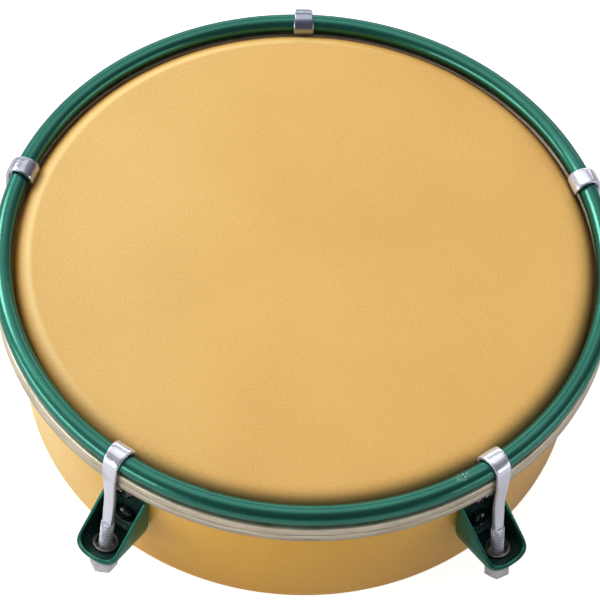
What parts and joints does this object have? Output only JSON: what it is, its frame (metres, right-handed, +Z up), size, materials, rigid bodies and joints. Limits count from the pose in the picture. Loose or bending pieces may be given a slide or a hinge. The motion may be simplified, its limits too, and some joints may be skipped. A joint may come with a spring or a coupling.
{
  "type": "tamborim",
  "caption": "Small one-headed frame drum: yellow metal shell and head, green rod counterhoop and lugs, and chrome hook tensioners with hex tuning nuts.",
  "frame": {"origin": "centre of the playing surface, on its top face", "axes": "+Z up out of the playing surface along the axis of the drum; +Y toward lug station 1; the stations follow counter-clockwise seen from above, 72 degrees apart"},
  "size_m": [0.1786, 0.1757, 0.0533],
  "materials": {
    "shell_lacquer": "gloss",
    "head_coating": "fine texture",
    "flesh_hoop_aluminium": "satin",
    "green_enamel": "gloss",
    "hook_chrome": "polished",
    "nickel_plate": "plated",
    "black_screws": "blackened"
  },
  "bodies": {
    "drum": {"shell": "shell_lacquer", "drumhead": "head_coating", "flesh_hoop": "flesh_hoop_aluminium", "counterhoop": "green_enamel", "lug_1": "green_enamel", "lug_ferrule_1": "nickel_plate", "lug_screw_upper_1": "black_screws", "lug_screw_lower_1": "black_screws", "lug_nut_upper_1": "nickel_plate", "lug_nut_lower_1": "nickel_plate", "lug_washer_upper_1": "nickel_plate", "lug_washer_lower_1": "nickel_plate", "lug_2": "green_enamel", "lug_ferrule_2": "nickel_plate", "lug_screw_upper_2": "black_screws", "lug_screw_lower_2": "black_screws", "lug_nut_upper_2": "nickel_plate", "lug_nut_lower_2": "nickel_plate", "lug_washer_upper_2": "nickel_plate", "lug_washer_lower_2": "nickel_plate", "lug_3": "green_enamel", "lug_ferrule_3": "nickel_plate", "lug_screw_upper_3": "black_screws", "lug_screw_lower_3": "black_screws", "lug_nut_upper_3": "nickel_plate", "lug_nut_lower_3": "nickel_plate", "lug_washer_upper_3": "nickel_plate", "lug_washer_lower_3": "nickel_plate", "lug_4": "green_enamel", "lug_ferrule_4": "nickel_plate", "lug_screw_upper_4": "black_screws", "lug_screw_lower_4": "black_screws", "lug_nut_upper_4": "nickel_plate", "lug_nut_lower_4": "nickel_plate", "lug_washer_upper_4": "nickel_plate", "lug_washer_lower_4": "nickel_plate", "lug_5": "green_enamel", "lug_ferrule_5": "nickel_plate", "lug_screw_upper_5": "black_screws", "lug_screw_lower_5": "black_screws", "lug_nut_upper_5": "nickel_plate", "lug_nut_lower_5": "nickel_plate", "lug_washer_upper_5": "nickel_plate", "lug_washer_lower_5": "nickel_plate"},
    "hook_1": {"tension_hook_1": "hook_chrome"},
    "nut_1": {"tuning_nut_1": "nickel_plate"},
    "hook_2": {"tension_hook_2": "hook_chrome"},
    "nut_2": {"tuning_nut_2": "nickel_plate"},
    "hook_3": {"tension_hook_3": "hook_chrome"},
    "nut_3": {"tuning_nut_3": "nickel_plate"},
    "hook_4": {"tension_hook_4": "hook_chrome"},
    "nut_4": {"tuning_nut_4": "nickel_plate"},
    "hook_5": {"tension_hook_5": "hook_chrome"},
    "nut_5": {"tuning_nut_5": "nickel_plate"}
  },
  "joints": [
    {"name": "hook_slide_1", "type": "slide", "parent": "drum", "child": "hook_1", "axis": [0, -0.1392, 0.9903], "range_m": [0, 0.0035]},
    {"name": "nut_turn_1", "type": "hinge", "parent": "drum", "child": "nut_1", "pos_m": [0, 0.0866, -0.0336], "axis": [0, 0.1392, -0.9903], "range_deg": [0, 1800]},
    {"name": "hook_slide_2", "type": "slide", "parent": "drum", "child": "hook_2", "axis": [0.1324, -0.043, 0.9903], "range_m": [0, 0.0035]},
    {"name": "nut_turn_2", "type": "hinge", "parent": "drum", "child": "nut_2", "pos_m": [-0.08236, 0.02676, -0.0336], "axis": [-0.1324, 0.043, -0.9903], "range_deg": [0, 1800]},
    {"name": "hook_slide_3", "type": "slide", "parent": "drum", "child": "hook_3", "axis": [0.0818, 0.1126, 0.9903], "range_m": [0, 0.0035]},
    {"name": "nut_turn_3", "type": "hinge", "parent": "drum", "child": "nut_3", "pos_m": [-0.0509, -0.07006, -0.0336], "axis": [-0.0818, -0.1126, -0.9903], "range_deg": [0, 1800]},
    {"name": "hook_slide_4", "type": "slide", "parent": "drum", "child": "hook_4", "axis": [-0.0818, 0.1126, 0.9903], "range_m": [0, 0.0035]},
    {"name": "nut_turn_4", "type": "hinge", "parent": "drum", "child": "nut_4", "pos_m": [0.0509, -0.07006, -0.0336], "axis": [0.0818, -0.1126, -0.9903], "range_deg": [0, 1800]},
    {"name": "hook_slide_5", "type": "slide", "parent": "drum", "child": "hook_5", "axis": [-0.1324, -0.043, 0.9903], "range_m": [0, 0.0035]},
    {"name": "nut_turn_5", "type": "hinge", "parent": "drum", "child": "nut_5", "pos_m": [0.08236, 0.02676, -0.0336], "axis": [0.1324, 0.043, -0.9903], "range_deg": [0, 1800]}
  ],
  "couplings": [
    {"joint": "nut_turn_1", "follows": "hook_slide_1", "rad_per_m": 8976},
    {"joint": "nut_turn_2", "follows": "hook_slide_2", "rad_per_m": 8976},
    {"joint": "nut_turn_3", "follows": "hook_slide_3", "rad_per_m": 8976},
    {"joint": "nut_turn_4", "follows": "hook_slide_4", "rad_per_m": 8976},
    {"joint": "nut_turn_5", "follows": "hook_slide_5", "rad_per_m": 8976}
  ]
}
